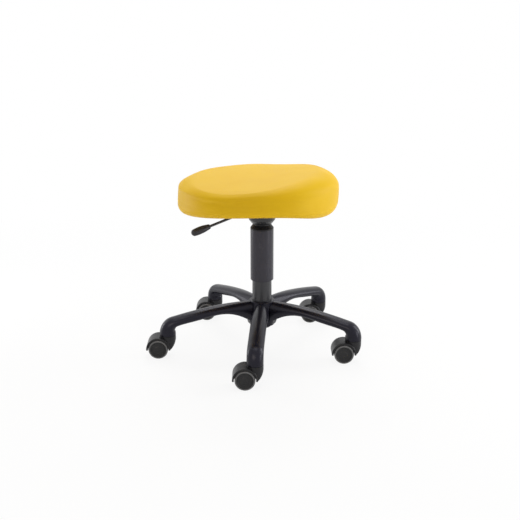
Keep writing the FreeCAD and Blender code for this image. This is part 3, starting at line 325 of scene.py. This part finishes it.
FINISHES = {
    "base_plastic": moulded_plastic("base_plastic", (0.006, 0.0056, 0.011), 0.30, depth=0.000008,
                                    edge=0.0, uneven=0.5, tint=COOL),
    "caster_plastic": moulded_plastic("caster_plastic", (0.0105, 0.0105, 0.0125), 0.36),
    "wheel_plastic": moulded_plastic("wheel_plastic", (0.017, 0.017, 0.018), 0.46),
    "sleeve_plastic": moulded_plastic("sleeve_plastic", (0.043, 0.042, 0.051), 0.26, depth=0.000008,
                                      uneven=0.3, tint=COOL),
    "cap_plastic": moulded_plastic("cap_plastic", (0.010, 0.010, 0.012), 0.38),
    "grip_plastic": moulded_plastic("grip_plastic", (0.028, 0.028, 0.033), 0.38, grain=900.0),
    "bush_plastic": moulded_plastic("bush_plastic", (0.62, 0.61, 0.56), 0.5),
    "column_paint": painted_metal("column_paint", (0.013, 0.013, 0.017), 0.34),
    "tube_paint": painted_metal("tube_paint", (0.02, 0.02, 0.023), 0.36),
    "carrier_paint": painted_metal("carrier_paint", (0.008, 0.008, 0.010), 0.26),
    "lever_paint": painted_metal("lever_paint", (0.018, 0.018, 0.021), 0.38),
    "zinc_steel": bare_metal("zinc_steel", (0.58, 0.58, 0.60), 0.36),
    "bright_steel": bare_metal("bright_steel", (0.74, 0.75, 0.77), 0.16),
    "piston_alloy": bare_metal("piston_alloy", (0.68, 0.69, 0.71), 0.32),
    "tread_rubber": soft_rubber("tread_rubber", (0.12, 0.12, 0.124), 0.56),
    "bump_rubber": soft_rubber("bump_rubber", (0.02, 0.02, 0.021), 0.6),
    "plywood": plywood("plywood", (0.60, 0.43, 0.25), (0.42, 0.27, 0.13)),
    "foam": soft_rubber("foam", (0.72, 0.66, 0.42), 0.9),
    "yellow_cover": upholstery("yellow_cover", (0.79, 0.492, 0.010)),
}


def paint_nodes():
    """Every carried-over node gets the finish of its slot."""
    for part in frame["record"]["subparts"]:
        mesh = NODES[part["node"]].data
        mesh.materials.clear()
        mesh.materials.append(FINISHES[part["material_slot"]])


# Cushion


def smoothstep(low, high, value):
    """0 up to one value, 1 from another on, and a smooth rise between them."""
    share = min(max((value - low) / (high - low), 0.0), 1.0)
    return share * share * (3 - 2 * share)


def skirt_z(y):
    """Height of the cushion's lower edge: a smooth line through the skirt's places."""
    share = (y - SEAT_CENTRE_Y) / SEAT_HALF_LENGTH
    last = len(SKIRT_PLACE) - 1
    index = max(i for i in range(last) if share >= SKIRT_PLACE[i] or i == 0)
    start, end = SKIRT_PLACE[index], SKIRT_PLACE[index + 1]

    def slope(i):
        low, high = max(i - 1, 0), min(i + 1, last)
        return (SKIRT_FALL[high] - SKIRT_FALL[low]) / (SKIRT_PLACE[high] - SKIRT_PLACE[low])

    run = end - start
    t = (share - start) / run
    fall = ((2 * t ** 3 - 3 * t ** 2 + 1) * SKIRT_FALL[index]
            + (t ** 3 - 2 * t ** 2 + t) * run * slope(index)
            + (3 * t ** 2 - 2 * t ** 3) * SKIRT_FALL[index + 1]
            + (t ** 3 - t ** 2) * run * slope(index + 1))
    return BOARD_Z - fall


def top_z(x, y):
    """Height of the cushion's top: crowned across, dished along, tilted and fuller at the rear."""
    crown = SEAT_CROWN * (x / SEAT_HALF_WIDTH) ** 2
    dish = SEAT_DISH * (y / SEAT_HALF_LENGTH) ** 2
    raised = REAR_RAISE * smoothstep(*RAISE_SPAN, y)
    return SEAT_TOP_Z + y * math.tan(math.radians(SEAT_TILT)) - crown + dish + raised


def outline_point(angle, inset, z):
    """Point on the cushion's outline at a height, moved in by an inset."""
    rear = smoothstep(*DRAFT_SPAN, math.sin(angle))
    drawn_in = rear * (SEAT_TOP_Z - z) * math.tan(math.radians(REAR_DRAFT))
    x = (SEAT_HALF_WIDTH - inset) * math.cos(angle)
    y = (SEAT_HALF_LENGTH - inset - drawn_in) * math.sin(angle) + SEAT_CENTRE_Y
    return x, y


def cushion_profile(angle):
    """(inset, height, freedom) from the middle of the top round to the room for the board."""
    swell = START_INSET
    half = SEAT_HALF_WIDTH
    rear = smoothstep(*REAR_SHOULDER, math.sin(angle))
    front = smoothstep(*FRONT_SHOULDER, -math.sin(angle))
    side = 1 - rear - front
    rounding = SIDE_ROUNDING * side + FRONT_ROUNDING * front + REAR_ROUNDING * rear
    rim_fall = SIDE_RIM_FALL * side + FRONT_RIM_FALL * front + REAR_RIM_FALL * rear
    points = []

    def place(inset, z, freedom):
        points.append((inset, z, freedom))

    # The top, from its middle to the shoulder
    for step in range(TOP_STEPS):
        share = step / TOP_STEPS
        inset = half + (rounding - half) * share ** TOP_SPACING
        x, y = outline_point(angle, inset, SEAT_TOP_Z)
        place(inset, top_z(x, y) - swell, 1.0)
    # The shoulder
    x, y = outline_point(angle, rounding, SEAT_TOP_Z)
    rim = top_z(x, y) - swell
    for step in range(SHOULDER_STEPS + 1):
        turn = math.radians(90 * step / SHOULDER_STEPS)
        inset = swell + (rounding - swell) * (1 - math.sin(turn))
        place(inset, rim - rim_fall * (1 - math.cos(turn)), 1.0)
    # The wall, and its rounding at the bottom
    x, y = outline_point(angle, 0, BOARD_Z)
    low = skirt_z(y)
    wall_top = rim - rim_fall
    wall_bottom = low + BOTTOM_ROUNDING
    for step in range(1, WALL_STEPS):
        share = step / WALL_STEPS
        place(swell, wall_top + (wall_bottom - wall_top) * share, 1.0)
    for step in range(BOTTOM_STEPS + 1):
        share = step / BOTTOM_STEPS
        turn = math.radians(90 * step / BOTTOM_STEPS)
        inset = swell + (BOTTOM_ROUNDING - swell) * (1 - math.cos(turn))
        z = wall_bottom - BOTTOM_ROUNDING * math.sin(turn)
        place(inset, z, BOTTOM_FREEDOM * (1 - share))
    # Under the skirt, and up beside the board to the hem, with turns of about a millimetre
    place((BOTTOM_ROUNDING + BOARD_INSET) / 2, low, 0.0)
    place(BOARD_INSET - 1.2, low + 0.2, 0.0)
    place(BOARD_INSET - 0.2, low + 1.2, 0.0)
    for step in range(1, HEM_STEPS):
        place(BOARD_INSET - 0.1, low + 1.2 + (HEM_Z - 1.4 - low) * step / HEM_STEPS, 0.0)
    place(BOARD_INSET + 0.1, HEM_Z - 0.6, 0.0)
    place(BOARD_INSET + 0.8, HEM_Z, 0.0)
    # The hem, round its end and back above it
    for step in range(1, HEM_STEPS + 1):
        place(BOARD_INSET + (HEM_INSET - BOARD_INSET) * step / HEM_STEPS, HEM_Z, 0.0)
    place(HEM_INSET + 0.4, (HEM_Z + HEM_TOP_Z) / 2, 0.0)
    place(HEM_INSET, HEM_TOP_Z, 0.0)
    place(BOARD_INSET + 0.6, HEM_TOP_Z, 0.0)
    # Round the board's edge and over its top
    place(BOARD_INSET, HEM_TOP_Z + 0.4, 0.0)
    place(BOARD_INSET, BOARD_TOP_Z - 0.6, 0.0)
    place(BOARD_INSET + 0.6, BOARD_TOP_Z, 0.0)
    for step in range(1, LINING_STEPS):
        place(BOARD_INSET + (half - BOARD_INSET) * step / LINING_STEPS, BOARD_TOP_Z, 0.0)
    return points


def cushion_mesh():
    """The closed cushion, and how free each of its points is to swell."""
    verts = []
    freedom = []
    rings = len(cushion_profile(0.0)) - 1
    for sector in range(CUSHION_SECTORS):
        angle = 2 * math.pi * sector / CUSHION_SECTORS
        for inset, z, free in cushion_profile(angle)[1:]:
            x, y = outline_point(angle, inset, z)
            verts.append((x * MM, y * MM, z * MM))
            freedom.append(free)
    top = len(verts)
    bottom = top + 1
    verts.append((0, SEAT_CENTRE_Y * MM, (top_z(0, SEAT_CENTRE_Y) - START_INSET) * MM))
    verts.append((0, SEAT_CENTRE_Y * MM, BOARD_TOP_Z * MM))
    freedom += [1.0, 0.0]
    faces = []
    for sector in range(CUSHION_SECTORS):
        here = sector * rings
        there = (sector + 1) % CUSHION_SECTORS * rings
        faces.append((top, here, there))
        for ring in range(rings - 1):
            faces.append((here + ring, here + ring + 1, there + ring + 1, there + ring))
        faces.append((here + rings - 1, bottom, there + rings - 1))
    mesh = bpy.data.meshes.new("seat_cushion")
    mesh.from_pydata(verts, [], faces)
    mesh.update()
    return mesh, freedom


def evened(mesh, moves):
    """Each point's movement, averaged with its neighbours' again and again."""
    around = [[index] for index in range(len(moves))]
    for edge in mesh.edges:
        first, second = edge.vertices
        around[first].append(second)
        around[second].append(first)
    for _ in range(SMOOTHING_PASSES):
        moves = [sum((moves[index] for index in group), Vector()) / len(group)
                 for group in around]
    return moves


def swell_by_cloth(cushion, freedom):
    """Blows the cushion up as cloth, held along its underside, and limits the movement."""
    start = [vert.co.copy() for vert in cushion.data.vertices]
    held = cushion.vertex_groups.new(name="held")
    for index, free in enumerate(freedom):
        held.add([index], 1.0 - free, "REPLACE")
    cloth = cushion.modifiers.new("cloth", "CLOTH")
    settings = cloth.settings
    settings.quality = 6
    settings.mass = 0.25
    settings.tension_stiffness = 25
    settings.compression_stiffness = 25
    settings.shear_stiffness = 8
    settings.bending_stiffness = 1.5
    settings.use_pressure = True
    settings.uniform_pressure_force = 4.0
    settings.vertex_group_mass = held.name
    settings.effector_weights.gravity = 0.0
    cloth.collision_settings.use_collision = False
    cloth.point_cache.frame_start = 1
    cloth.point_cache.frame_end = CLOTH_FRAMES
    for number in range(1, CLOTH_FRAMES + 1):
        SCENE.frame_set(number)
    swollen = cushion.evaluated_get(bpy.context.evaluated_depsgraph_get())
    places = [vert.co.copy() for vert in swollen.data.vertices]
    cushion.modifiers.remove(cloth)
    cushion.vertex_groups.remove(held)
    SCENE.frame_set(1)
    moves = evened(cushion.data, [after - before for before, after in zip(start, places)])
    for vert, before, move, free in zip(cushion.data.vertices, start, moves, freedom):
        limit = SWELL_LIMIT * MM * free
        if move.length > limit:
            move = move * (limit / move.length) if limit > 0 else Vector()
        vert.co = before + move


def fold_depth(angle, level):
    """How deep the cover's long folds are at a plan angle and a share of the cushion's height."""
    depth = 0.0
    for start, end, start_level, end_level, deepest in WALL_FOLDS:
        share = (math.degrees(angle) - start) % 360 / (end - start)
        if share < 1:
            across = (level - start_level - (end_level - start_level) * share) / FOLD_WIDTH
            depth += deepest * math.sin(math.pi * share) * math.exp(-across ** 2)
    return depth


def press_in(cushion, freedom):
    """The marks of the upholstering: a drawn-in wall, a fuller rear, faint folds and ripples."""
    cushion.data.update()
    for vert, free in zip(cushion.data.vertices, freedom):
        if free < LEAST_FREEDOM:
            continue
        x, y, z = (channel / MM for channel in vert.co)
        angle = math.atan2(y - SEAT_CENTRE_Y, x)
        radius = math.hypot(x, y - SEAT_CENTRE_Y)
        low = skirt_z(y)
        high = top_z(x, y)
        level = min(max((z - low) / (high - low), 0.0), 1.0)
        wall = smoothstep(*WALL_SPAN, radius) * math.sin(math.pi * level) ** WALL_FADE
        side = math.cos(angle) ** 2
        rear = smoothstep(*SWELL_SPAN, math.sin(angle))
        drawn_in = wall * (WALL_DRAW * side - REAR_SWELL * rear + fold_depth(angle, level))
        ripple = SURFACE_RIPPLE * noise.noise(Vector((x, y, z)) / RIPPLE_LENGTH)
        vert.co += vert.normal * ((ripple - drawn_in) * free * MM)


def make_cushion():
    """The upholstered cushion, which stands for the foam and its cover."""
    mesh, freedom = cushion_mesh()
    cushion = bpy.data.objects.new("seat_cushion", mesh)
    SCENE.collection.objects.link(cushion)
    swell_by_cloth(cushion, freedom)
    press_in(cushion, freedom)
    for polygon in mesh.polygons:
        polygon.use_smooth = True
    fine = cushion.modifiers.new("fine", "SUBSURF")
    fine.levels = 1
    fine.render_levels = 1
    mesh.materials.append(FINISHES["yellow_cover"])
    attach(cushion, "seat")
    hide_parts("seat_cover", "seat_foam")


# Studio


def aimed(thing, place, target):
    """Puts a lamp or camera in the scene at a place, looking at a target."""
    thing.location = place
    thing.rotation_euler = (Vector(target) - Vector(place)).to_track_quat("-Z", "Y").to_euler()
    SCENE.collection.objects.link(thing)


def area_lamp(name, place, size, power, colour):
    """A soft rectangular lamp, aimed at the object."""
    lamp = bpy.data.lights.new(name, "AREA")
    lamp.shape = "RECTANGLE"
    lamp.size, lamp.size_y = size
    lamp.energy = power
    lamp.color = colour
    aimed(bpy.data.objects.new(name, lamp), place, LAMP_TARGET)


def background_rays(tree):
    """1 for the rays that see the background: the camera's, reflected and transmitted ones."""
    paths = tree.nodes.new("ShaderNodeLightPath")
    seen = paths.outputs["Is Camera Ray"]
    for ray in ("Is Glossy Ray", "Is Transmission Ray"):
        either = tree.nodes.new("ShaderNodeMath")
        either.operation = "MAXIMUM"
        tree.links.new(seen, either.inputs[0])
        tree.links.new(paths.outputs[ray], either.inputs[1])
        seen = either.outputs[0]
    return seen


def make_floor():
    """A white floor that keeps the object's shadow."""
    mesh = bpy.data.meshes.new("floor")
    corners = [(-FLOOR_REACH, -FLOOR_REACH, 0), (FLOOR_REACH, -FLOOR_REACH, 0),
               (FLOOR_REACH, FLOOR_REACH, 0), (-FLOOR_REACH, FLOOR_REACH, 0)]
    mesh.from_pydata(corners, [], [(0, 1, 2, 3)])
    floor = bpy.data.objects.new("floor", mesh)
    SCENE.collection.objects.link(floor)
    finish = Finish("floor")
    finish.set(Base_Color=(0.9, 0.9, 0.9, 1), Roughness=0.8)
    tree = finish.tree
    white = finish.add("ShaderNodeEmission", color=(1, 1, 1, 1), strength=1.0)
    away = finish.add("ShaderNodeVectorMath", operation="LENGTH")
    finish.link(finish.coordinates.outputs["Object"], away.inputs[0])
    share = finish.add("ShaderNodeMath", operation="MULTIPLY")
    whiteness = finish.ramp(away.outputs["Value"], *SHADOW_REACH, SHADOW_WHITE, 1.0)
    finish.link(whiteness, share.inputs[0])
    finish.link(background_rays(tree), share.inputs[1])
    mix = finish.add("ShaderNodeMixShader")
    finish.link(share.outputs[0], mix.inputs["Fac"])
    finish.link(finish.shader.outputs["BSDF"], mix.inputs[1])
    finish.link(white.outputs["Emission"], mix.inputs[2])
    finish.link(mix.outputs["Shader"], tree.nodes["Material Output"].inputs["Surface"])
    mesh.materials.append(finish.material)


def make_surround():
    """A surround that is white where it is seen, and dimmer as a light."""
    world = bpy.data.worlds.new("surround")
    SCENE.world = world
    world.use_nodes = True
    tree = world.node_tree
    strength = tree.nodes.new("ShaderNodeMapRange")
    strength.inputs["To Min"].default_value = AMBIENT
    strength.inputs["To Max"].default_value = 1.0
    tree.links.new(background_rays(tree), strength.inputs["Value"])
    background = tree.nodes["Background"]
    background.inputs["Color"].default_value = (1, 1, 1, 1)
    tree.links.new(strength.outputs["Result"], background.inputs["Strength"])


def make_camera():
    """The camera, and the plain view transform."""
    camera = bpy.data.cameras.new("camera")
    camera.lens = CAMERA_LENS
    camera.sensor_width = SENSOR_WIDTH
    camera.clip_end = CAMERA_REACH
    eye = Vector(CAMERA_PLACE)
    viewer = bpy.data.objects.new("camera", camera)
    aimed(viewer, eye, eye + Vector(CAMERA_HEADING))
    SCENE.camera = viewer
    SCENE.view_settings.view_transform = "Standard"


paint_nodes()
make_cushion()
make_floor()
make_surround()
for lamp_values in LAMPS:
    area_lamp(*lamp_values)
make_camera()
